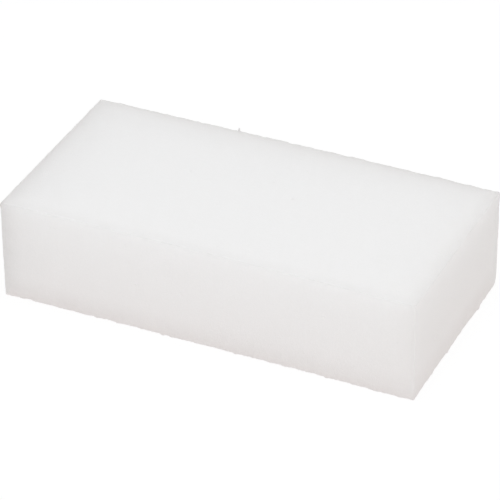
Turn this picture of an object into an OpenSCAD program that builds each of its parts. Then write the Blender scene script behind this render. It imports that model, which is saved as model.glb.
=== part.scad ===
// A cleaning sponge: one block of fine, open-cell melamine foam.
// The foam is sliced into a sheet with a band knife, and the block is then cut out of the
// sheet with straight blades, so it is a single piece with six flat faces. A blade tears
// the brittle cell walls a little, which eases every edge: slightly where a sliced face
// meets a cut side, and a little more where two cut sides meet.
// The origin is at the centre of the bottom face, +X runs along the length, +Y across
// the width and +Z up.

/* [Block] */
// Length of the block, along X
block_length = 120; // [60:1:180]
// Width of the block, along Y
block_width = 60; // [30:1:100]
// Height of the block, along Z: the thickness of the sliced sheet
block_height = 30; // [12:1:50]

/* [Edges] */
// Radius of the four edges that run along the length
long_edge_radius = 0.5; // [0.2:0.1:4]
// Radius of the four edges that run across the width, at the ends
end_edge_radius = 0.5; // [0.2:0.1:4]
// Radius of the four upright edges
upright_edge_radius = 0.7; // [0.2:0.1:4]

/* [Quality] */
// Number of sides of a full circle
round_sides = 48; // [16:4:96]

/* [Hidden] */
$fn = round_sides;

// Outline of the block as it is seen along one axis: a rectangle with rounded corners.
module eased_outline(across, up, radius) {
    square([across, up - 2 * radius], center = true);
    square([across - 2 * radius, up], center = true);
    for (x = [-1, 1], y = [-1, 1])
        translate([x * (across / 2 - radius), y * (up / 2 - radius)])
            circle(r = radius);
}

// The whole sponge: what is left where the outlines along the three axes meet. Each
// outline rounds the four edges that run along its own axis, so every set of edges keeps
// its own radius, and each corner comes out where three of them meet.
module foam_block() {
    color("white")
        translate([0, 0, block_height / 2])
            intersection() {
                linear_extrude(height = block_height, center = true)
                    eased_outline(block_length, block_width, upright_edge_radius);
                rotate([90, 0, 0])
                    linear_extrude(height = block_width, center = true)
                        eased_outline(block_length, block_height, end_edge_radius);
                rotate([90, 0, 90])
                    linear_extrude(height = block_length, center = true)
                        eased_outline(block_width, block_height, long_edge_radius);
            }
}

foam_block();
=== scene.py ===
"""A plain white cleaning sponge: one block of open-cell melamine foam that lies flat.

The frame gives the block's real size and place. Its plain solid is replaced here by a
modelled block: faces that bow a little, cut edges that crumble, cells that burst open and
small tabs that tore where the blade left the foam. Two finishes of the same foam dress it,
one on the sliced top and bottom and one on the cut sides. All lengths are in metres.
"""

import sys
import logging
import math
import random
from dataclasses import dataclass, field
from enum import Enum

import bmesh
import bpy
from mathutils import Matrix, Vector, noise


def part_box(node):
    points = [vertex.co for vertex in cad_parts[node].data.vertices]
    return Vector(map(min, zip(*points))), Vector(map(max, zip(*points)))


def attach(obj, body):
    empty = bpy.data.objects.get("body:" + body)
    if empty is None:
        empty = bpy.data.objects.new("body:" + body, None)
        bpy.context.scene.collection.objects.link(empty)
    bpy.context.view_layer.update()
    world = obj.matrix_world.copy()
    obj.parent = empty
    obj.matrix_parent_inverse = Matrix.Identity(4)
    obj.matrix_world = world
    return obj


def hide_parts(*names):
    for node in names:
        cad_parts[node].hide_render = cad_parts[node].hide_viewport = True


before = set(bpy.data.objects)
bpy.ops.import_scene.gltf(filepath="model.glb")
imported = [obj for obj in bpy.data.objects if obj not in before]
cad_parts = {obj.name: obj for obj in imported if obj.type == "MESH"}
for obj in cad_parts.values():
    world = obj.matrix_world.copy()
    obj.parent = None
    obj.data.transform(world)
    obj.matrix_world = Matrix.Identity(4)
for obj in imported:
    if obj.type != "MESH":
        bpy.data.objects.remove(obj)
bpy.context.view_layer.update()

MM = 0.001
BLOCK_NODE = "foam_block"
ROOT_BODY = "root"
SHADE_AND_WEAR_LAYER = "edge_shade_and_wear"
WHITE = (1.0, 1.0, 1.0)

# Power with which a band of painted shade and wear fades away from its edge.
BAND_FADE = 1.3
# Half widths from its middle at which a notch or lump has faded out.
MARK_END = 3
# Crumbs and patches: how fast the smaller ones fade, how much smaller each size is than the
# one before, and how many sizes there are.
CRUMB_FADE = 0.4
CRUMB_STEP = 2.1
CRUMB_SIZES = 4
# Share of an edge's length that has to run along an axis for the edge to count as straight.
STRAIGHT = 0.999
# An edge of the mesh that is longer than this many steps of the rim is still a coarse one.
COARSE = 1.5
# Power with which the ripple of a face fades over the faces beside it.
RIPPLE_FADE = 5
# How closely a face of the mesh looks in a direction, where 1 is exactly: to lie in a face of
# the block, to be a place where a tab can grow, and to count as part of the top or bottom.
FACING = 0.9
LEANING = 0.2
UPWARD = 0.8

log = logging.getLogger("cleaning_sponge")

Triple = tuple[float, float, float]
Node = bpy.types.Node
Socket = bpy.types.NodeSocket
Feeds = dict[str | int, object]


class Run(Enum):
    """The three directions in which the edges of the block run."""

    LENGTH = 0
    WIDTH = 1
    HEIGHT = 2


class Side(Enum):
    """The six faces of the block, each with the direction that it looks in."""

    TOP = (0, 0, 1)
    BOTTOM = (0, 0, -1)
    FRONT = (0, -1, 0)
    BACK = (0, 1, 0)
    LEFT = (-1, 0, 0)
    RIGHT = (1, 0, 0)

    @property
    def outward(self) -> Vector:
        """Unit vector that points out of the block through this face."""
        return Vector(self.value)


TOP, BOTTOM, FRONT, BACK, LEFT, RIGHT = Side


class Cut(Enum):
    """How a face of the block was made, in the order of its material slots."""

    SLICED = 0
    BLADE = 1


@dataclass(frozen=True)
class BurstCell:
    """One large cell that the knife cut open, which leaves a small pit in a face.

    Attributes:
        side: Face that the pit is in.
        place: Point on that face, from the middle of the block's bottom face.
        radius: Radius of the pit's mouth.
        depth: Depth of the pit at its middle.
        tone: Painted shade in the pit's recess, at its middle, where an edge has about 1.
    """

    side: Side
    place: Triple
    radius: float
    depth: float
    tone: float = 0.12


@dataclass(frozen=True)
class TornTab:
    """A small tab of foam that stands out of an edge, where the blade tore it.

    Attributes:
        place: Point on the edge that the tab grows from.
        lean: Direction in which it stands.
        width: Width of its root.
        height: How far it stands out.
        taper: Share of the root's width that is left at the tip.
        steps: Steps in which it is pulled out.
        levelling: Share of the root's unevenness that each step leaves.
        shade_kept: Share of the edge's painted shade and wear that each step leaves.
    """

    place: Triple
    lean: Triple
    width: float
    height: float
    taper: float = 0.6
    steps: int = 3
    levelling: float = 0.5
    shade_kept: float = 0.6


@dataclass(frozen=True)
class EdgeMark:
    """A place on an edge where the blade tore out a notch or left a lump.

    Attributes:
        place: Point on the edge.
        width: Length of edge that it takes up.
        depth: How far it goes in, or how far it stands out if it is below 0.
    """

    place: Triple
    width: float
    depth: float

    def at(self, point: Vector) -> float:
        """How deep it is at a point: all of it at its middle, and less further off."""
        away = (point - Vector(self.place)).length / (self.width / 2)
        return self.depth * math.exp(-away * away) if away < MARK_END else 0.0


@dataclass(frozen=True)
class CornerDent:
    """A corner that has been pressed and rubbed rounder than the others.

    Attributes:
        place: The corner.
        reach: Distance from it over which the foam has given way.
        depth: How far the corner itself has gone in.
    """

    place: Triple
    reach: float
    depth: float


@dataclass(frozen=True)
class ShadeAndWearBand:
    """A band of a face, beside one of its edges, with painted shade and some wear, or painted
    light.

    Attributes:
        face: The face.
        edge: The face on the other side of that edge.
        strength: How dark it is painted at the edge itself, or how much lighter if it is below 0.
        reach: Width of the band, over which that fades away.
    """

    face: Side
    edge: Side
    strength: float = 1.0
    reach: float = 4.6 * MM

    def at(self, gap: float) -> float:
        """How dark it is painted at a distance from the edge."""
        return self.strength * max(0.0, 1 - gap / self.reach) ** BAND_FADE


@dataclass(frozen=True)
class LightAndShadeCorner:
    """A corner around which its bands get more painted shade, or painted light where the share is
    below 0.

    Attributes:
        place: The corner.
        reach: Distance from it over which that fades away.
        share: How much darker it is painted at the corner, or how much lighter if it is below 0.
    """

    place: Triple
    reach: float
    share: float

    def at(self, point: Vector) -> float:
        """What the tone at a point is multiplied by."""
        away = (point - Vector(self.place)).length / self.reach
        return 1 + self.share * max(0.0, 1 - away)


@dataclass(frozen=True)
class EdgeHabit:
    """How deep the blade tore one edge, beside the others.

    Attributes:
        first: One of the two faces that meet in it.
        second: The other.
        share: Depth to which it crumbled, where 1 is the usual one.
    """

    first: Side
    second: Side
    share: float


@dataclass(frozen=True)
class HiddenPits:
    """Pits on the faces that the photograph doesn't show.

    Attributes:
        per_face: How many are tried on a large face.
        end_share: Share of these that an end face gets.
        radii: Smallest and largest radius, in millimetres.
        depth_share: Depth of a pit, as a share of its radius.
        spacing: Least distance between two of them.
        seed: Seed of their places and sizes.
    """

    per_face: int = 12
    end_share: float = 0.5
    radii: tuple[float, float] = (0.22, 0.36)
    depth_share: float = 0.85
    spacing: float = 4 * MM
    seed: int = 20


def in_mm(place: Triple | list[float]) -> Triple:
    """A place in metres, from one in millimetres."""
    return tuple(value * MM for value in place)


def pits_in(side: Side, level: float, *rows: tuple[float, ...]) -> tuple[BurstCell, ...]:
    """The pits of one face that can be made out in the photograph.

    Args:
        side: The face.
        level: Where it lies on its own axis, in millimetres.
        *rows: Place on the other two axes, radius and depth of each pit, in millimetres, and
            its tone if that isn't the usual one.

    Returns:
        The pits.
    """
    axis = [abs(way) for way in side.value].index(1)
    pits = []
    for first, second, radius, depth, *tone in rows:
        place = [first, second]
        place.insert(axis, level)
        pits.append(BurstCell(side, in_mm(place), radius * MM, depth * MM, *tone))
    return tuple(pits)


def marks_along(run: Run, edge: Triple, *rows: Triple) -> tuple[EdgeMark, ...]:
    """The notches and lumps of one edge.

    Args:
        run: Direction in which the edge runs.
        edge: A point on the edge, in millimetres.
        *rows: Place along the edge, width and depth of each mark, in millimetres. A depth
            below 0 is a lump.

    Returns:
        The marks.
    """
    marks = []
    for along, width, depth in rows:
        place = list(edge)
        place[run.value] = along
        marks.append(EdgeMark(in_mm(place), width * MM, depth * MM))
    return tuple(marks)


def middle_of(edge: bmesh.types.BMEdge) -> Vector:
    """Point halfway along an edge of the mesh."""
    return (edge.verts[0].co + edge.verts[1].co) / 2


def put_in_scene(title: str, data: bpy.types.ID) -> bpy.types.Object:
    """Makes an object and links it to the scene.

    Args:
        title: Its name.
        data: The mesh, lamp or camera that it shows.

    Returns:
        The object.
    """
    item = bpy.data.objects.new(title, data)
    bpy.context.scene.collection.objects.link(item)
    return item


# Pits on the top and front face that can be made out in the photograph.
TOP_PITS = pits_in(
    TOP,
    30,
    (10.7, 3.5, 0.60, 0.11, 0.9),
    (-20.2, 5.3, 0.50, 0.14, 0.75),
    (2.7, 9.0, 0.75, 0.07, 0.4),
    (9.0, 18.0, 0.28, 0.24),
    (24.1, 10.2, 0.28, 0.18),
    (40.0, 5.3, 0.26, 0.16),
    (-8.6, -17.3, 0.26, 0.22),
    (2.1, -25.4, 0.28, 0.24),
    (-30.6, -5.1, 0.26, 0.22),
)
FRONT_PITS = pits_in(
    FRONT,
    -30,
    (-20.2, 14.1, 0.30, 0.26),
    (-6.9, 15.2, 0.30, 0.26),
    (34.0, 19.3, 0.28, 0.24),
    (-23.1, 26.2, 0.26, 0.14),
    (-44.0, 25.8, 0.28, 0.24),
    (54.6, 17.3, 0.26, 0.14),
)

# Tabs that stand out of the outline: one on the back top edge, two on upright edges.
SEEN_TABS = (
    TornTab(in_mm((-16.95, 30, 30)), (0.0, 0.1, 1.0), 0.85 * MM, 0.95 * MM, 0.42),
    TornTab(in_mm((-60, -30, 28.8)), (-1.0, -0.2, 0.0), 0.60 * MM, 0.50 * MM),
    TornTab(in_mm((60, 30, 28.9)), (1.0, 0.2, 0.0), 0.60 * MM, 0.50 * MM),
)

# Notches and lumps that break the outline, edge by edge.
BACK_TOP_MARKS = marks_along(
    Run.LENGTH,
    (0, 30, 30),
    (-53.4, 1.8, -0.17),
    (-47.0, 8.0, 0.07),
    (-43.9, 1.2, 0.28),
    (-30.2, 1.1, 0.20),
    (-28.2, 1.5, 0.42),
    (-18.9, 1.6, 0.20),
    (-9.4, 1.2, 0.30),
    (-0.8, 1.7, 0.42),
    (17.2, 1.8, -0.20),
    (28.0, 36.0, -0.05),
    (42.6, 1.2, -0.22),
    (55.1, 1.8, 0.22),
    (58.3, 1.2, 0.22),
)
FRONT_BOTTOM_MARKS = marks_along(
    Run.LENGTH,
    (0, -30, 0),
    (-52.8, 1.8, 0.50),
    (-32.2, 1.3, -0.27),
    (-29.2, 1.6, 0.25),
    (-20.5, 1.5, 0.36),
    (-12.4, 1.2, -0.36),
    (-10.0, 1.2, -0.27),
    (8.8, 1.2, -0.30),
    (23.0, 14.0, -0.065),
    (25.9, 1.5, 0.34),
    (31.5, 1.2, 0.26),
    (34.9, 1.1, -0.24),
    (49.1, 1.2, -0.30),
    (52.0, 18.0, -0.36),
)
RIGHT_BOTTOM_MARKS = marks_along(
    Run.WIDTH,
    (60, 0, 0),
    (-20.8, 1.2, 0.24),
    (-16.0, 10.0, 0.05),
    (-5.8, 1.5, -0.29),
    (1.3, 2.4, 0.26),
    (4.9, 1.6, 0.34),
    (16.4, 2.4, -0.36),
    (23.0, 1.2, 0.20),
)

# A stretch of the upright edge under the back right corner that stands out a little.
UPRIGHT_MARKS = marks_along(Run.HEIGHT, (60, 30, 0), (28.5, 7.0, -0.08))

SEEN_MARKS = BACK_TOP_MARKS + FRONT_BOTTOM_MARKS + RIGHT_BOTTOM_MARKS + UPRIGHT_MARKS
SEEN_DENTS = (CornerDent(in_mm((60, 30, 0)), 3.2 * MM, 0.40 * MM),)

# Bands beside the edges. On the faces in view they are painted shade with some wear, darker
# towards the bottom, the left end and the back; the others have bands of the usual strength. The
# sides have none beside the top.
SEEN_SHADE_AND_WEAR_BANDS = (
    ShadeAndWearBand(TOP, LEFT, 0.8),
    ShadeAndWearBand(TOP, RIGHT),
    ShadeAndWearBand(TOP, BACK),
    ShadeAndWearBand(TOP, FRONT, 0.5),
    ShadeAndWearBand(FRONT, LEFT, 1.1, 6.5 * MM),
    ShadeAndWearBand(FRONT, BOTTOM, 1.15, 8.0 * MM),
    ShadeAndWearBand(FRONT, RIGHT, 0.4, 3.0 * MM),
    ShadeAndWearBand(RIGHT, BACK, 1.1),
    ShadeAndWearBand(RIGHT, BOTTOM, 1.2, 9.0 * MM),
)
HIDDEN_BANDS = tuple(
    ShadeAndWearBand(face, edge)
    for face in (BOTTOM, LEFT, BACK)
    for edge in Side
    if edge != TOP and face.outward.dot(edge.outward) == 0
)
SHADE_AND_WEAR_BANDS = SEEN_SHADE_AND_WEAR_BANDS + HIDDEN_BANDS

# Painted shade lines and painted light strips beside an edge, which come on top of the bands. The
# widest of them paints the whole right face a little lighter towards its front.
PAINTED_LIGHT_AND_SHADE_STRIPS = (
    ShadeAndWearBand(TOP, BACK, 2.5, 1.9 * MM),
    ShadeAndWearBand(TOP, LEFT, 1.0, 0.9 * MM),
    ShadeAndWearBand(TOP, FRONT, 0.6, 0.6 * MM),
    ShadeAndWearBand(FRONT, TOP, 0.62, 1.0 * MM),
    ShadeAndWearBand(FRONT, TOP, -0.14, 9.0 * MM),
    ShadeAndWearBand(FRONT, BOTTOM, -1.1, 1.05 * MM),
    ShadeAndWearBand(RIGHT, FRONT, -0.22, 6.0 * MM),
    ShadeAndWearBand(RIGHT, FRONT, -0.10, 80.0 * MM),
    ShadeAndWearBand(RIGHT, BACK, 0.3, 2.0 * MM),
    ShadeAndWearBand(RIGHT, BOTTOM, -0.5, 0.8 * MM),
)

# Painted light around the front right bottom corner and painted shade around the front left
# bottom corner.
LIGHT_AND_SHADE_CORNERS = (
    LightAndShadeCorner(in_mm((60, -30, 0)), 35 * MM, -0.42),
    LightAndShadeCorner(in_mm((-60, -30, 0)), 25 * MM, 0.42),
)

# Edges that the blade left cleaner or more ragged than the others.
EDGE_HABITS = (
    EdgeHabit(TOP, RIGHT, 0.25),
    EdgeHabit(TOP, FRONT, 0.3),
    EdgeHabit(FRONT, RIGHT, 0.5),
    EdgeHabit(TOP, LEFT, 1.4),
    EdgeHabit(RIGHT, BOTTOM, 1.2),
)


@dataclass
class FoamBlock:
    """The sponge: a single block of foam with six cut faces.

    Attributes:
        low: Lowest corner of the block in the frame.
        high: Highest corner of the block in the frame.
        edge_radius: Radius to which the cut edges are eased.
        edge_segments: Facets across an eased edge.
        rim_width: Width of the band along each edge that has a fine grid.
        rim_step: Grid step across that band.
        face_step: Grid step over the rest of a face.
        edge_cuts: Cuts in each grid step along the edges themselves.
        arch: How much higher the middle of the top stands than its ends.
        belly: How much the end faces stand out at half height.
        waist: How much the front face draws in at half length.
        lean: Sideways lean of the knife that cut the ends, as a slope.
        skew: Slope by which the ends aren't square to the long sides, seen from above.
        twist: How much the back top edge rises towards its right end, from its middle.
        flare: How much further than the front one it reaches to both sides.
        ripple: Depth of the knife's slow ripple over the faces.
        ripple_length: Distance from one ripple to the next.
        crumb_reach: Distance from an edge over which the foam has crumbled.
        crumb_depth: Usual depth of that crumbling.
        crumb_size: Size of the largest crumbs.
        crumb_spread: How strongly that depth varies from crumb to crumb.
        crumb_rise: How far crumbs stand out at most, as a share of it.
        tear_bias: How much more than usual the edges crumble towards +X, +Y and +Z,
            where the knife entered or left the foam.
        upright_share: How deep the upright edges crumble, beside the others.
        shade_and_wear_level: Share of the painted shade and wear tone that is even.
        shade_and_wear_patches: Share of it that comes in patches.
        pit_cuts: Cuts in each grid step around a pit.
        pit_wobble: How far the mouth of a pit is from round, as a share of its radius.
        pit_grain: Size of that unevenness.
        pit_bowl: Power that gives a pit its form, where 1 is an open dish.
        pit_reach: Distance from a pit's place, in radii, within which the skin can sink.
        hidden: Pits on the faces that the photograph doesn't show.
        solid: The mesh that it is built in.
    """

    low: Vector
    high: Vector
    edge_radius: float = 0.42 * MM
    edge_segments: int = 4
    rim_width: float = 2.4 * MM
    rim_step: float = 0.30 * MM
    face_step: float = 1.2 * MM
    edge_cuts: int = 4
    arch: float = 0.22 * MM
    belly: float = 0.10 * MM
    waist: float = 0.19 * MM
    lean: float = -0.010
    skew: float = 0.006
    twist: float = 0.10 * MM
    flare: float = 0.09 * MM
    ripple: float = 0.025 * MM
    ripple_length: float = 9.0 * MM
    crumb_reach: float = 1.2 * MM
    crumb_depth: float = 0.12 * MM
    crumb_size: float = 3.4 * MM
    crumb_spread: float = 1.6
    crumb_rise: float = 0.3
    tear_bias: Triple = (0.05, 0.15, -0.25)
    upright_share: float = 0.55
    shade_and_wear_level: float = 0.9
    shade_and_wear_patches: float = 0.25
    pit_cuts: int = 6
    pit_wobble: float = 0.25
    pit_grain: float = 0.3 * MM
    pit_bowl: float = 1.5
    pit_reach: float = 1.6
    hidden: HiddenPits = HiddenPits()
    solid: bmesh.types.BMesh = field(default_factory=bmesh.new)

    @property
    def middle(self) -> Vector:
        """Middle of the block."""
        return (self.high + self.low) / 2

    @property
    def half(self) -> Vector:
        """Half of the block's size along each axis."""
        return (self.high - self.low) / 2

    def build(self) -> bpy.types.Object:
        """Builds the block's mesh and puts it on an object of its own.

        Returns:
            The sponge, at the origin, with its place in its mesh.
        """
        self._cut_out()
        self._divide()
        self._paint_shade_and_wear()
        self._crumble()
        for dent in SEEN_DENTS:
            self._dent(dent)
        self._bow()
        for cell in (*TOP_PITS, *FRONT_PITS, *self._scatter_cells()):
            self._burst(cell)
        for tab in SEEN_TABS:
            self._tear(tab)
        self._sort_faces()
        mesh = bpy.data.meshes.new("sponge_block")
        self.solid.to_mesh(mesh)
        self.solid.free()
        return put_in_scene("sponge_block", mesh)

    def inset_of(self, point: Vector) -> Vector:
        """Distances of a point from the nearer of each pair of faces.

        Args:
            point: A point in or on the block.

        Returns:
            The distances along X, Y and Z, each 0 on a face.
        """
        return Vector([min(p - lo, hi - p) for p, lo, hi in zip(point, self.low, self.high)])

    def to_side(self, point: Vector, side: Side) -> float:
        """Distance of a point in the block from the plane of one face."""
        corner = self.high if sum(side.value) > 0 else self.low
        return abs((corner - point).dot(side.outward))

    def from_edge(self, point: Vector) -> float:
        """Distance of a point on the skin from the nearest edge of the block."""
        return max(0.0, sorted(self.inset_of(point))[1])

    def patches_at(self, point: Vector) -> float:
        """How crumbly the foam is at a point, uneven around 0."""
        return noise.fractal(point / self.crumb_size, CRUMB_FADE, CRUMB_STEP, CRUMB_SIZES)

    def _cut_out(self) -> None:
        """Starts the block: a cube brought to size, with its twelve edges eased."""
        bmesh.ops.create_cube(self.solid, size=1.0)
        verts = self.solid.verts[:]
        bmesh.ops.scale(self.solid, vec=self.high - self.low, verts=verts)
        bmesh.ops.translate(self.solid, vec=self.middle, verts=verts)
        bmesh.ops.bevel(
            self.solid,
            geom=self.solid.edges[:],
            offset=self.edge_radius,
            offset_type="OFFSET",
            segments=self.edge_segments,
            profile=0.5,
            affect="EDGES",
            clamp_overlap=True,
            material=-1,
        )

    def _runs(self, run: Run) -> list[bmesh.types.BMEdge]:
        """Edges of the mesh that run straight in one direction, without the corners' own.

        Args:
            run: The direction.

        Returns:
            The edges.
        """
        found = []
        for edge in self.solid.edges:
            step = edge.verts[1].co - edge.verts[0].co
            if step.length > self.edge_radius and abs(step[run.value]) > STRAIGHT * step.length:
                found.append(edge)
        return found

    def _split(self, edges: list[bmesh.types.BMEdge], cuts: int) -> None:
        """Cuts edges of the mesh into equal parts, and the faces between them into grids."""
        bmesh.ops.subdivide_edges(self.solid, edges=edges, cuts=cuts, use_grid_fill=True)

    def _divide(self) -> None:
        """Lays the grid over the block: fine beside the edges, wider over the faces."""
        for run in Run:
            across = Vector([float(axis == run.value) for axis in range(3)])
            near, far = self.low[run.value], self.high[run.value]
            for at in (near + self.rim_width, far - self.rim_width):
                bmesh.ops.bisect_plane(
                    self.solid,
                    geom=self.solid.verts[:] + self.solid.edges[:] + self.solid.faces[:],
                    plane_co=across * at,
                    plane_no=across,
                )
        for run in Run:
            for step, in_rim in ((self.rim_step, True), (self.face_step, False)):
                edges = [
                    e
                    for e in self._runs(run)
                    if (e.calc_length() < self.rim_width) == in_rim
                    and e.calc_length() > step
                ]
                self._split(edges, round(edges[0].calc_length() / step) - 1)
        for run in Run:
            edges = [
                e
                for e in self._runs(run)
                if self.from_edge(middle_of(e)) < self.crumb_reach
                and min(self.inset_of(middle_of(e))) < self.edge_radius
                and e.calc_length() > self.rim_step * COARSE
            ]
            self._split(edges, self.edge_cuts)

    def _bow(self) -> None:
        """Bows the faces a little, and leans them as an unsteady knife cuts them."""
        half, middle = self.half, self.middle
        for vert in self.solid.verts:
            share = Vector([(c - m) / h for c, m, h in zip(vert.co, middle, half)])
            swell = (1 + noise.noise(vert.co / self.ripple_length)) * self.ripple
            vert.co.z -= (share.z + 1) / 2 * self.arch * share.x ** 2
            vert.co.y += max(0.0, -share.y) * self.waist * (1 - share.x ** 2)
            vert.co.x -= share.x * self.belly * share.z ** 2
            vert.co.x += self.lean * share.z * half.z + self.skew * share.y * half.y
            behind = (share.y + 1) * (share.z + 1) / 4
            vert.co += behind * share.x * Vector((self.flare, 0.0, self.twist))
            vert.co -= Vector([swell * s ** RIPPLE_FADE for s in share])

    def _paint_shade_and_wear(self) -> None:
        """Paints the darker and lighter tone beside each edge, painted shade and light with some
        wear, in patches.
        """
        shade_wear_layer = self.solid.verts.layers.float.new(SHADE_AND_WEAR_LAYER)
        for vert in self.solid.verts:
            patches = self.shade_and_wear_patches * self.patches_at(vert.co)
            # Painted shade and painted light beside the edges, with some wear, go into the colour
            # layer here.
            vert[shade_wear_layer] = self._shade_and_wear_at(vert.co) * (self.shade_and_wear_level + patches)

    def _shade_and_wear_at(self, point: Vector) -> float:
        """How much painted shade and wear lie at one point, before they are broken into patches.

        Args:
            point: A point on the skin.

        Returns:
            The share, 0 on the plain face and about 1 on an edge.
        """
        face = min(Side, key=lambda side: self.to_side(point, side))
        bands, strips = (
            [b.at(self.to_side(point, b.edge)) for b in table if b.face == face]
            for table in (SHADE_AND_WEAR_BANDS, PAINTED_LIGHT_AND_SHADE_STRIPS)
        )
        share = max(bands) + sum(strips)
        for corner in LIGHT_AND_SHADE_CORNERS:
            share *= corner.at(point)
        return share

    def _crumble(self) -> None:
        """Wears the edges ragged, with the notches and lumps that can be seen."""
        half, middle = self.half, self.middle
        for vert in self.solid.verts:
            gap = self.from_edge(vert.co)
            if gap >= self.crumb_reach:
                continue
            inset = self.inset_of(vert.co)
            inward = Vector(
                [
                    math.copysign(max(0.0, 1 - step / self.crumb_reach), m - c)
                    for step, m, c in zip(inset, middle, vert.co)
                ]
            ).normalized()
            tear = 1 + sum(
                bias * (c - m) / h
                for bias, c, m, h in zip(self.tear_bias, vert.co, middle, half)
            )
            upright = min(1.0, inset.z / self.crumb_reach)
            tear *= 1 - upright * (1 - self.upright_share)
            for habit in EDGE_HABITS:
                gaps = [self.to_side(vert.co, side) for side in (habit.first, habit.second)]
                near = math.prod(max(0.0, 1 - step / self.rim_width) for step in gaps)
                tear *= 1 + near * (habit.share - 1)
            rough = 1 + self.crumb_spread * self.patches_at(vert.co)
            depth = max(-self.crumb_rise, rough) * self.crumb_depth * tear
            depth += sum(mark.at(vert.co) for mark in SEEN_MARKS)
            vert.co += inward * (1 - gap / self.crumb_reach) ** 2 * depth
            vert.co.z = max(vert.co.z, self.low.z)

    def _dent(self, dent: CornerDent) -> None:
        """Presses one corner in.

        Args:
            dent: The corner.
        """
        corner = Vector(dent.place)
        inward = Vector([math.copysign(1.0, way) for way in self.middle - corner]).normalized()
        for vert in self.solid.verts:
            away = (vert.co - corner).length / dent.reach
            if away < 1:
                vert.co += inward * dent.depth * (1 - away) ** 2

    def _scatter_cells(self) -> list[BurstCell]:
        """Chooses pits for the faces that the photograph doesn't show.

        Returns:
            The pits, in places drawn with their own seed.
        """
        hidden = self.hidden
        draw = random.Random(hidden.seed)
        off_edge = Vector([2 * self.rim_width] * 3)
        low, high = self.low + off_edge, self.high - off_edge
        cells = []
        for side in (BOTTOM, BACK, LEFT, RIGHT):
            share = hidden.end_share if side in (LEFT, RIGHT) else 1.0
            for _ in range(round(hidden.per_face * share)):
                place = Vector([draw.uniform(lo, hi) for lo, hi in zip(low, high)])
                for axis, way in enumerate(side.value):
                    if way:
                        place[axis] = (self.high if way > 0 else self.low)[axis]
                radius = draw.uniform(*hidden.radii) * MM
                gaps = [(place - Vector(other.place)).length for other in cells]
                if all(gap > hidden.spacing for gap in gaps):
                    depth = radius * hidden.depth_share
                    cells.append(BurstCell(side, tuple(place), radius, depth))
        return cells

    def _burst(self, cell: BurstCell) -> None:
        """Opens one burst cell: the grid gets finer around it, sinks at its middle and is painted
        darker as shade.

        Args:
            cell: The pit.
        """
        place, outward = Vector(cell.place), cell.side.outward
        shade_wear_layer = self.solid.verts.layers.float[SHADE_AND_WEAR_LAYER]
        reach = cell.radius + self.face_step
        near = [
            f
            for f in self.solid.faces
            if f.normal.dot(outward) > FACING
            and (f.calc_center_median() - place).length < reach
        ]
        edges = list(dict.fromkeys(e for f in near for e in f.edges))
        self._split(edges, self.pit_cuts)
        facing = [f for f in self.solid.faces if f.normal.dot(outward) > FACING]
        for vert in dict.fromkeys(v for f in facing for v in f.verts):
            away = vert.co - place
            if away.length >= cell.radius * self.pit_reach:
                continue
            away -= outward * away.dot(outward)
            wobble = 1 + self.pit_wobble * noise.noise(vert.co / self.pit_grain)
            share = away.length / (cell.radius * wobble)
            if share < 1:
                sunk = (1 - share * share) ** self.pit_bowl
                vert.co -= outward * cell.depth * sunk
                # Painted shade: the pit's recess is darkened in the colour layer.
                vert[shade_wear_layer] += cell.tone * sunk

    def _tear(self, tab: TornTab) -> None:
        """Pulls one torn tab out of the edge, in steps that narrow to its tip.

        Args:
            tab: The tab.
        """
        lean = Vector(tab.lean).normalized()
        shade_wear_layer = self.solid.verts.layers.float[SHADE_AND_WEAR_LAYER]
        self.solid.normal_update()
        facing = [f for f in self.solid.faces if f.normal.dot(lean) > LEANING]
        middle = min(
            (f.calc_center_median() for f in facing),
            key=lambda centre: (centre - Vector(tab.place)).length,
        )
        root = [f for f in facing if (f.calc_center_median() - middle).length < tab.width / 2]
        narrow = tab.taper ** (1 / tab.steps)
        for _ in range(tab.steps):
            pulled = bmesh.ops.extrude_face_region(self.solid, geom=root)["geom"]
            bmesh.ops.delete(self.solid, geom=root, context="FACES")
            verts = [g for g in pulled if isinstance(g, bmesh.types.BMVert)]
            root = [g for g in pulled if isinstance(g, bmesh.types.BMFace)]
            middle = sum((v.co for v in verts), Vector()) / len(verts)
            for vert in verts:
                away = vert.co - middle
                along = lean * away.dot(lean)
                vert.co = middle + (away - along) * narrow + along * tab.levelling
                vert.co += lean * (tab.height / tab.steps)
                # The tab keeps less of the edge's painted shade and wear towards its tip.
                vert[shade_wear_layer] *= tab.shade_kept

    def _sort_faces(self) -> None:
        """Shades the skin smooth and gives each face the slot of how it was cut."""
        bmesh.ops.recalc_face_normals(self.solid, faces=self.solid.faces[:])
        for face in self.solid.faces:
            flat = abs(face.normal.z) > UPWARD
            face.material_index = (Cut.SLICED if flat else Cut.BLADE).value
            face.smooth = True


class Blend(Enum):
    """What a Mix node mixes, with the numbers of its two inputs and its output."""

    FLOAT = (2, 3, 0)
    RGBA = (6, 7, 2)


def opaque(colour: Triple, level: float = 1.0) -> tuple[float, ...]:
    """A colour at a level of light, with the alpha that a node wants."""
    return (*(share * level for share in colour), 1.0)


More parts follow.
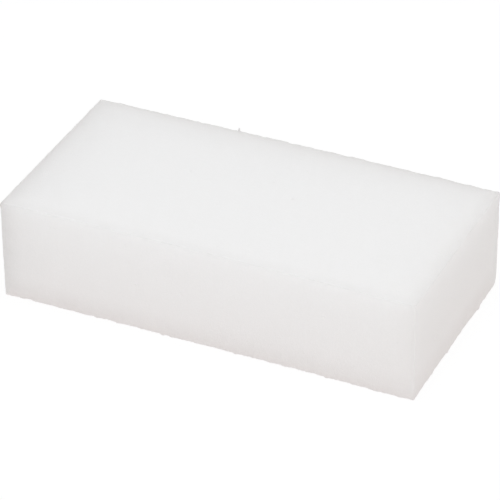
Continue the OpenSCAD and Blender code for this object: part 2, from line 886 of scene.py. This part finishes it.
class NodeSheet:
    """Adds nodes and links to one node tree, from left to right."""

    SPACING = 200

    def __init__(self, tree: bpy.types.NodeTree) -> None:
        """Keeps the tree that the nodes go into, and empties it."""
        self.tree = tree
        self.tree.nodes.clear()

    def add(self, kind: str, feeds: Feeds, **settings: object) -> Node:
        """Adds one node.

        Args:
            kind: The node's type name.
            feeds: An output socket or a constant for each input, by its name or number.
            **settings: Attributes to set on it.

        Returns:
            The node.
        """
        node = self.tree.nodes.new(kind)
        node.location = (len(self.tree.nodes) * self.SPACING, 0)
        for name, value in settings.items():
            setattr(node, name, value)
        for key, source in feeds.items():
            if isinstance(source, Socket):
                self.tree.links.new(source, node.inputs[key])
            else:
                node.inputs[key].default_value = source
        return node

    def math(self, operation: str, first: object, second: object) -> Socket:
        """Adds a Math node on two sockets or values, and gives its output."""
        return self.add("ShaderNodeMath", {0: first, 1: second}, operation=operation).outputs[0]

    def mix(self, kind: Blend, share: object, first: object, second: object) -> Socket:
        """Adds a Mix node.

        Args:
            kind: What it mixes.
            share: Share of the second, a socket or a value.
            first: The first socket, value or colour.
            second: The second socket, value or colour.

        Returns:
            Its output.
        """
        one, two, out = kind.value
        feeds = {"Factor": share, one: first, two: second}
        return self.add("ShaderNodeMix", feeds, data_type=kind.name).outputs[out]


class EffectGroup:
    """A shader node group with named inputs and outputs, built once and placed often.

    Attributes:
        title: Name of the group.
        takes: The names of its inputs, by the kind of socket.
        gives: The names of its outputs, by the kind of socket.
    """

    title = "effect"
    takes: dict[str, tuple[str, ...]] = {}
    gives: dict[str, tuple[str, ...]] = {}

    def __init__(self) -> None:
        """Builds the group."""
        self.tree = bpy.data.node_groups.new(self.title, "ShaderNodeTree")
        for way, table in (("INPUT", self.takes), ("OUTPUT", self.gives)):
            for kind, names in table.items():
                for name in names:
                    self.tree.interface.new_socket(name, in_out=way, socket_type=kind)
        self.sheet = NodeSheet(self.tree)
        self.given = self.sheet.add("NodeGroupInput", {}).outputs
        self.sheet.add("NodeGroupOutput", self.fill())

    def fill(self) -> dict[str, Socket]:
        """Builds what is inside the group, and gives the socket for each output."""
        raise NotImplementedError

    def place(self, sheet: NodeSheet, feeds: Feeds) -> Node:
        """Places the group on a material's sheet, with a value or socket for each input."""
        return sheet.add("ShaderNodeGroup", feeds, node_tree=self.tree)


class OpenCells(EffectGroup):
    """The open cells of the foam: a fine grain of tiny round hollows between thin struts."""

    title = "open_cells"
    takes = {
        "NodeSocketVector": ("Place",),
        "NodeSocketFloat": ("Cells per metre", "Coarse share"),
    }
    gives = {"NodeSocketFloat": ("Height", "Shade")}

    # Scale of the coarse cells and of the grain beside the fine cells, and the grain's detail.
    COARSE_SCALE = 0.37
    GRAIN_SCALE = 0.6
    GRAIN_DETAIL = 3.0
    # What brings the product of cells and grain back to about 1 on the struts.
    CONTRAST = 2.0

    def fill(self) -> dict[str, Socket]:
        """Mixes two sizes of cell and a grain of noise.

        Returns:
            The height, 1 on the struts, and the shade, 1 in the hollows.
        """
        sheet, place, density = self.sheet, self.given["Place"], self.given["Cells per metre"]
        fine, coarse = (
            sheet.add("ShaderNodeTexVoronoi", {"Vector": place, "Scale": scale})
            for scale in (density, sheet.math("MULTIPLY", density, self.COARSE_SCALE))
        )
        feeds = {
            "Vector": place,
            "Scale": sheet.math("MULTIPLY", density, self.GRAIN_SCALE),
            "Detail": self.GRAIN_DETAIL,
        }
        grain = sheet.add("ShaderNodeTexNoise", feeds)
        gaps = fine.outputs["Distance"], coarse.outputs["Distance"]
        cells = sheet.mix(Blend.FLOAT, self.given["Coarse share"], *gaps)
        height = sheet.math("MULTIPLY", cells, grain.outputs["Fac"])
        height = sheet.math("MULTIPLY", height, self.CONTRAST)
        return {"Height": height, "Shade": sheet.math("SUBTRACT", 1.0, height)}


class BladeMarks(EffectGroup):
    """Faint streaks that a knife leaves in the direction of its stroke."""

    title = "blade_marks"
    takes = {"NodeSocketVector": ("Place", "Marks per metre")}
    gives = {"NodeSocketFloat": ("Height",)}

    # How much fine detail the streaks have, and how strongly it shows.
    DETAIL = 4.0
    ROUGHNESS = 0.6

    def fill(self) -> dict[str, Socket]:
        """Draws a noise that is stretched along the stroke.

        Returns:
            The height of the streaks, about 0.5 on average.
        """
        feeds = {0: self.given["Place"], 1: self.given["Marks per metre"]}
        stretched = self.sheet.add("ShaderNodeVectorMath", feeds, operation="MULTIPLY")
        feeds = {
            "Vector": stretched.outputs["Vector"],
            "Scale": 1.0,
            "Detail": self.DETAIL,
            "Roughness": self.ROUGHNESS,
        }
        return {"Height": self.sheet.add("ShaderNodeTexNoise", feeds).outputs["Fac"]}


class FoamTone(EffectGroup):
    """The colour of the foam: a clean white, with painted shade in the hollows, and painted
    shade, painted light and wear beside the crumbled edges.
    """

    title = "foam_tone"
    masks = ("Hollows", "Streaks", "Worn and shaded")
    shares = ("Hollow share", "Streak share", "Worn and shaded share")
    takes = {"NodeSocketColor": ("White", "Deep"), "NodeSocketFloat": masks + shares}
    gives = {"NodeSocketColor": ("Colour",)}

    def fill(self) -> dict[str, Socket]:
        """Weighs the three masks and mixes the two tones with their sum.

        Returns:
            The colour.
        """
        sheet, given = self.sheet, self.given
        hollows, streaks, shade_wear_mask = (
            sheet.math("MULTIPLY", given[mask], given[share])
            for mask, share in zip(self.masks, self.shares)
        )
        total = sheet.math("ADD", sheet.math("ADD", hollows, streaks), shade_wear_mask)
        return {"Colour": sheet.mix(Blend.RGBA, total, given["White"], given["Deep"])}


@dataclass(frozen=True)
class FoamFinish:
    """One finish of the melamine foam.

    Attributes:
        title: Name of the material.
        marks_per_metre: Streaks per metre along each axis, fewest along the stroke.
        mark_share: Share of the relief that the streaks have, beside the cells.
        relief: Height of the whole relief.
        cells_per_metre: How many cells of the foam there are to a metre.
        coarse_share: Share of the coarse cells in the grain.
        white: Colour of the clean foam.
        deep: Colour that the hollows tend to, where their painted shade shows.
        hollow_share: How strongly the painted shade in the hollows of the cells shows.
        streak_share: How strongly the streaks show.
        shade_and_wear_share: How strongly the painted shade and light and the wear beside the
            edges and in pits show.
        bleed: How far light wanders under the skin, for red, green and blue.
        bleed_scale: Length that this is counted in.
        roughness: Roughness of the skin.
        shine: How much light the skin mirrors, where 0.5 is usual.
    """

    title: str
    marks_per_metre: Triple
    mark_share: float = 0.25
    relief: float = 0.05 * MM
    cells_per_metre: float = 3200.0
    coarse_share: float = 0.35
    white: Triple = (0.919, 0.919, 0.919)
    deep: Triple = (0.74, 0.735, 0.725)
    hollow_share: float = 0.10
    streak_share: float = 0.04
    shade_and_wear_share: float = 0.34
    bleed: Triple = WHITE
    bleed_scale: float = 35 * MM
    roughness: float = 0.95
    shine: float = 0.15

    def make(self, cells: OpenCells, marks: BladeMarks, tone: FoamTone) -> bpy.types.Material:
        """Makes the material.

        Args:
            cells: The group that draws the open cells.
            marks: The group that draws the knife's streaks.
            tone: The group that mixes the colour.

        Returns:
            The material.
        """
        material = bpy.data.materials.new(self.title)
        material.use_nodes = True
        sheet = NodeSheet(material.node_tree)
        place = sheet.add("ShaderNodeTexCoord", {}).outputs["Object"]
        shade_wear_node = sheet.add("ShaderNodeAttribute", {}, attribute_name=SHADE_AND_WEAR_LAYER)
        feeds = {
            "Place": place,
            "Cells per metre": self.cells_per_metre,
            "Coarse share": self.coarse_share,
        }
        grain = cells.place(sheet, feeds).outputs
        feeds = {"Place": place, "Marks per metre": self.marks_per_metre}
        streaks = marks.place(sheet, feeds).outputs["Height"]
        feeds = {
            "White": opaque(self.white),
            "Deep": opaque(self.deep),
            # Painted shade in the hollows of the cells.
            "Hollows": grain["Shade"],
            "Streaks": streaks,
            # Painted shade and light beside the edges and in the pits, with some wear.
            "Worn and shaded": shade_wear_node.outputs["Fac"],
            "Hollow share": self.hollow_share,
            "Streak share": self.streak_share,
            "Worn and shaded share": self.shade_and_wear_share,
        }
        colour = tone.place(sheet, feeds).outputs["Colour"]
        raised = sheet.mix(Blend.FLOAT, self.mark_share, grain["Height"], streaks)
        feeds = {"Strength": 1.0, "Distance": self.relief, "Height": raised}
        bump = sheet.add("ShaderNodeBump", feeds)
        feeds = {
            "Base Color": colour,
            "Normal": bump.outputs["Normal"],
            "Roughness": self.roughness,
            "Specular IOR Level": self.shine,
            "Subsurface Weight": 1.0,
            "Subsurface Radius": self.bleed,
            "Subsurface Scale": self.bleed_scale,
        }
        skin = sheet.add("ShaderNodeBsdfPrincipled", feeds, subsurface_method="RANDOM_WALK")
        sheet.add("ShaderNodeOutputMaterial", {"Surface": skin.outputs["BSDF"]})
        return material


SLICED_FOAM = FoamFinish("sliced_foam", marks_per_metre=(25.0, 700.0, 700.0))
CUT_FOAM = FoamFinish("cut_foam", marks_per_metre=(800.0, 800.0, 30.0), shade_and_wear_share=0.5)


@dataclass
class CleaningSponge:
    """The whole object: the block and its two finishes.

    Attributes:
        block: The block of foam.
        fill: How full the foam piece is, where 1 is full and tight. Not used.
    """

    block: FoamBlock
    fill: float = 1.0

    def make(self) -> bpy.types.Object:
        """Builds the block, dresses it and puts it in the place of its CAD node.

        Returns:
            The finished sponge.
        """
        sponge = self.block.build()
        groups = (OpenCells(), BladeMarks(), FoamTone())
        for finish in (SLICED_FOAM, CUT_FOAM):
            sponge.data.materials.append(finish.make(*groups))
        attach(sponge, ROOT_BODY)
        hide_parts(BLOCK_NODE)
        return sponge


def direction(azimuth: float, elevation: float) -> Vector:
    """Unit vector from the object towards a lamp or camera.

    Args:
        azimuth: Degrees round from the front towards the right.
        elevation: Degrees above the horizon.

    Returns:
        The vector.
    """
    turn, rise = math.radians(azimuth), math.radians(elevation)
    level = math.cos(rise)
    return Vector((math.sin(turn) * level, -math.cos(turn) * level, math.sin(rise)))


@dataclass(frozen=True)
class SoftLamp:
    """A large square studio lamp that faces the object.

    Attributes:
        title: Name of the lamp.
        azimuth: Degrees round from the front towards the right.
        elevation: Degrees above the horizon.
        level: Light that it gives a surface that faces it, where 1 shows a colour as written.
        distance: Distance from the object.
        width: Width of the lamp's square face.
        colour: Colour of its light.
    """

    title: str
    azimuth: float
    elevation: float
    level: float
    distance: float = 1.2
    width: float = 1.0
    colour: Triple = WHITE

    def make(self) -> None:
        """Makes the lamp and aims it at the origin."""
        data = bpy.data.lights.new(self.title, "AREA")
        data.shape = "SQUARE"
        data.size = self.width
        data.energy = self.level * (math.pi * self.distance) ** 2
        data.color = self.colour
        lamp = put_in_scene(self.title, data)
        towards = direction(self.azimuth, self.elevation)
        lamp.location = towards * self.distance
        lamp.rotation_mode = "QUATERNION"
        lamp.rotation_quaternion = towards.to_track_quat("Z", "Y")


@dataclass(frozen=True)
class Studio:
    """The plain pale floor, the even light of the room and the soft lamps.

    Attributes:
        lamps: The lamps.
        room_level: Light that the room gives from all round, where 1 is white.
        room_colour: Colour of that light.
        floor_colour: Colour with which the floor throws light back.
        table_level: Light that comes up through the floor, as on a lit photo table.
        table_colour: Colour of that light.
        shadow_share: Share of the floor's look that comes from the light on it.
        floor_glow: The rest of its look, which brings the open floor up to white.
        floor_size: Width of the floor.
        floor_drop: Gap that keeps the floor just clear of the block.
    """

    lamps: tuple[SoftLamp, ...]
    room_level: float = 0.413
    room_colour: Triple = (1.0, 0.968, 0.94)
    floor_colour: Triple = (0.45, 0.45, 0.45)
    table_level: float = 0.464
    table_colour: Triple = (1.0, 0.938, 0.923)
    shadow_share: float = 0.14
    floor_glow: float = 0.885
    floor_size: float = 6.0
    floor_drop: float = 0.02 * MM

    def make(self) -> None:
        """Makes the world, the floor and the lamps."""
        self._make_room()
        self._make_floor()
        for lamp in self.lamps:
            lamp.make()
        bpy.context.scene.view_settings.view_transform = "Standard"

    def _seen(self, sheet: NodeSheet) -> Socket:
        """Adds a value that is 1 for what is seen, mirrored or looked through.

        Args:
            sheet: The sheet of nodes that it goes into.

        Returns:
            The value's socket.
        """
        rays = sheet.add("ShaderNodeLightPath", {}).outputs
        seen = sheet.math("MAXIMUM", rays["Is Camera Ray"], rays["Is Glossy Ray"])
        return sheet.math("MAXIMUM", seen, rays["Is Transmission Ray"])

    def _make_room(self) -> None:
        """Makes the world: a soft even light that looks plain white."""
        world = bpy.data.worlds.new("white_room")
        world.use_nodes = True
        sheet = NodeSheet(world.node_tree)
        light = opaque(self.room_colour, self.room_level)
        tint = sheet.mix(Blend.RGBA, self._seen(sheet), light, opaque(WHITE))
        glow = sheet.add("ShaderNodeBackground", {"Color": tint})
        sheet.add("ShaderNodeOutputWorld", {"Surface": glow.outputs["Background"]})
        bpy.context.scene.world = world

    def _make_floor(self) -> None:
        """Makes the floor, which looks white and keeps the block's soft shadow."""
        plate = bmesh.new()
        bmesh.ops.create_grid(plate, x_segments=1, y_segments=1, size=self.floor_size / 2)
        bmesh.ops.translate(plate, vec=(0, 0, -self.floor_drop), verts=plate.verts[:])
        mesh = bpy.data.meshes.new("floor")
        plate.to_mesh(mesh)
        plate.free()
        mesh.materials.append(self._floor_finish())
        floor = put_in_scene("floor", mesh)

    def _floor_finish(self) -> bpy.types.Material:
        """Makes the floor's white finish.

        Returns:
            The material.
        """
        material = bpy.data.materials.new("pale_floor")
        material.use_nodes = True
        sheet = NodeSheet(material.node_tree)
        seen = self._seen(sheet)
        shaded = opaque(WHITE, self.shadow_share)
        tint = sheet.mix(Blend.RGBA, seen, opaque(self.floor_colour), shaded)
        matte = sheet.add("ShaderNodeBsdfDiffuse", {"Color": tint})
        light = opaque(self.table_colour, self.table_level)
        tint = sheet.mix(Blend.RGBA, seen, light, opaque(WHITE, self.floor_glow))
        glow = sheet.add("ShaderNodeEmission", {"Color": tint})
        feeds = {0: matte.outputs["BSDF"], 1: glow.outputs["Emission"]}
        both = sheet.add("ShaderNodeAddShader", feeds)
        sheet.add("ShaderNodeOutputMaterial", {"Surface": both.outputs["Shader"]})
        return material


@dataclass(frozen=True)
class ProductCamera:
    """The camera, at the photograph's viewing angle.

    Attributes:
        azimuth: Degrees round from the front towards the right.
        elevation: Degrees above the horizon.
        distance: Distance from the origin, along the line of sight.
        slide: How far the aim lies to the right of the origin.
        rise: How far the aim lies above the origin, in the picture.
        focal_length: Focal length in millimetres.
        sensor_width: Width of the sensor in millimetres.
        nearest: Distance from which on things are drawn.
        farthest: Distance up to which they are.
    """

    azimuth: float = 24.212
    elevation: float = 33.511
    distance: float = 0.89080
    slide: float = -0.240 * MM
    rise: float = 10.680 * MM
    focal_length: float = 234.72
    sensor_width: float = 36.0
    nearest: float = 0.05
    farthest: float = 20.0

    def make(self) -> None:
        """Makes the camera and hands it to the scene."""
        data = bpy.data.cameras.new("camera")
        data.lens = self.focal_length
        data.sensor_width = self.sensor_width
        data.clip_start = self.nearest
        data.clip_end = self.farthest
        camera = put_in_scene("camera", data)
        back = direction(self.azimuth, self.elevation)
        right = Vector((0, 0, 1)).cross(back).normalized()
        up = back.cross(right)
        camera.location = back * self.distance + right * self.slide + up * self.rise
        camera.rotation_mode = "QUATERNION"
        camera.rotation_quaternion = (-back).to_track_quat("-Z", "Y")
        bpy.context.scene.camera = camera


LAMPS = (
    SoftLamp("overhead_lamp", azimuth=0, elevation=89.9, level=0.472, colour=(0.914, 0.959, 1.0)),
    SoftLamp("front_lamp", azimuth=0, elevation=20, level=0.131, colour=(0.832, 0.936, 1.0)),
    SoftLamp("front_right_lamp", azimuth=45, elevation=30, level=0.145, colour=(1.0, 0.9, 0.837)),
    SoftLamp("back_lamp", azimuth=180, elevation=20, level=0.097, colour=(0.952, 0.994, 1.0)),
)


def main() -> None:
    """Builds the camera, the studio and the sponge, and reports each piece."""
    logging.basicConfig(level=logging.INFO, format="%(message)s", stream=sys.stdout)
    ProductCamera().make()
    Studio(lamps=LAMPS).make()
    low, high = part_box(BLOCK_NODE)
    sponge = CleaningSponge(FoamBlock(low, high)).make()
    triangles = sum(len(face.vertices) - 2 for face in sponge.data.polygons)
    log.info("%s: %d triangles, %s", sponge.name, triangles, list(sponge.data.materials))


if __name__ == "__main__":
    main()
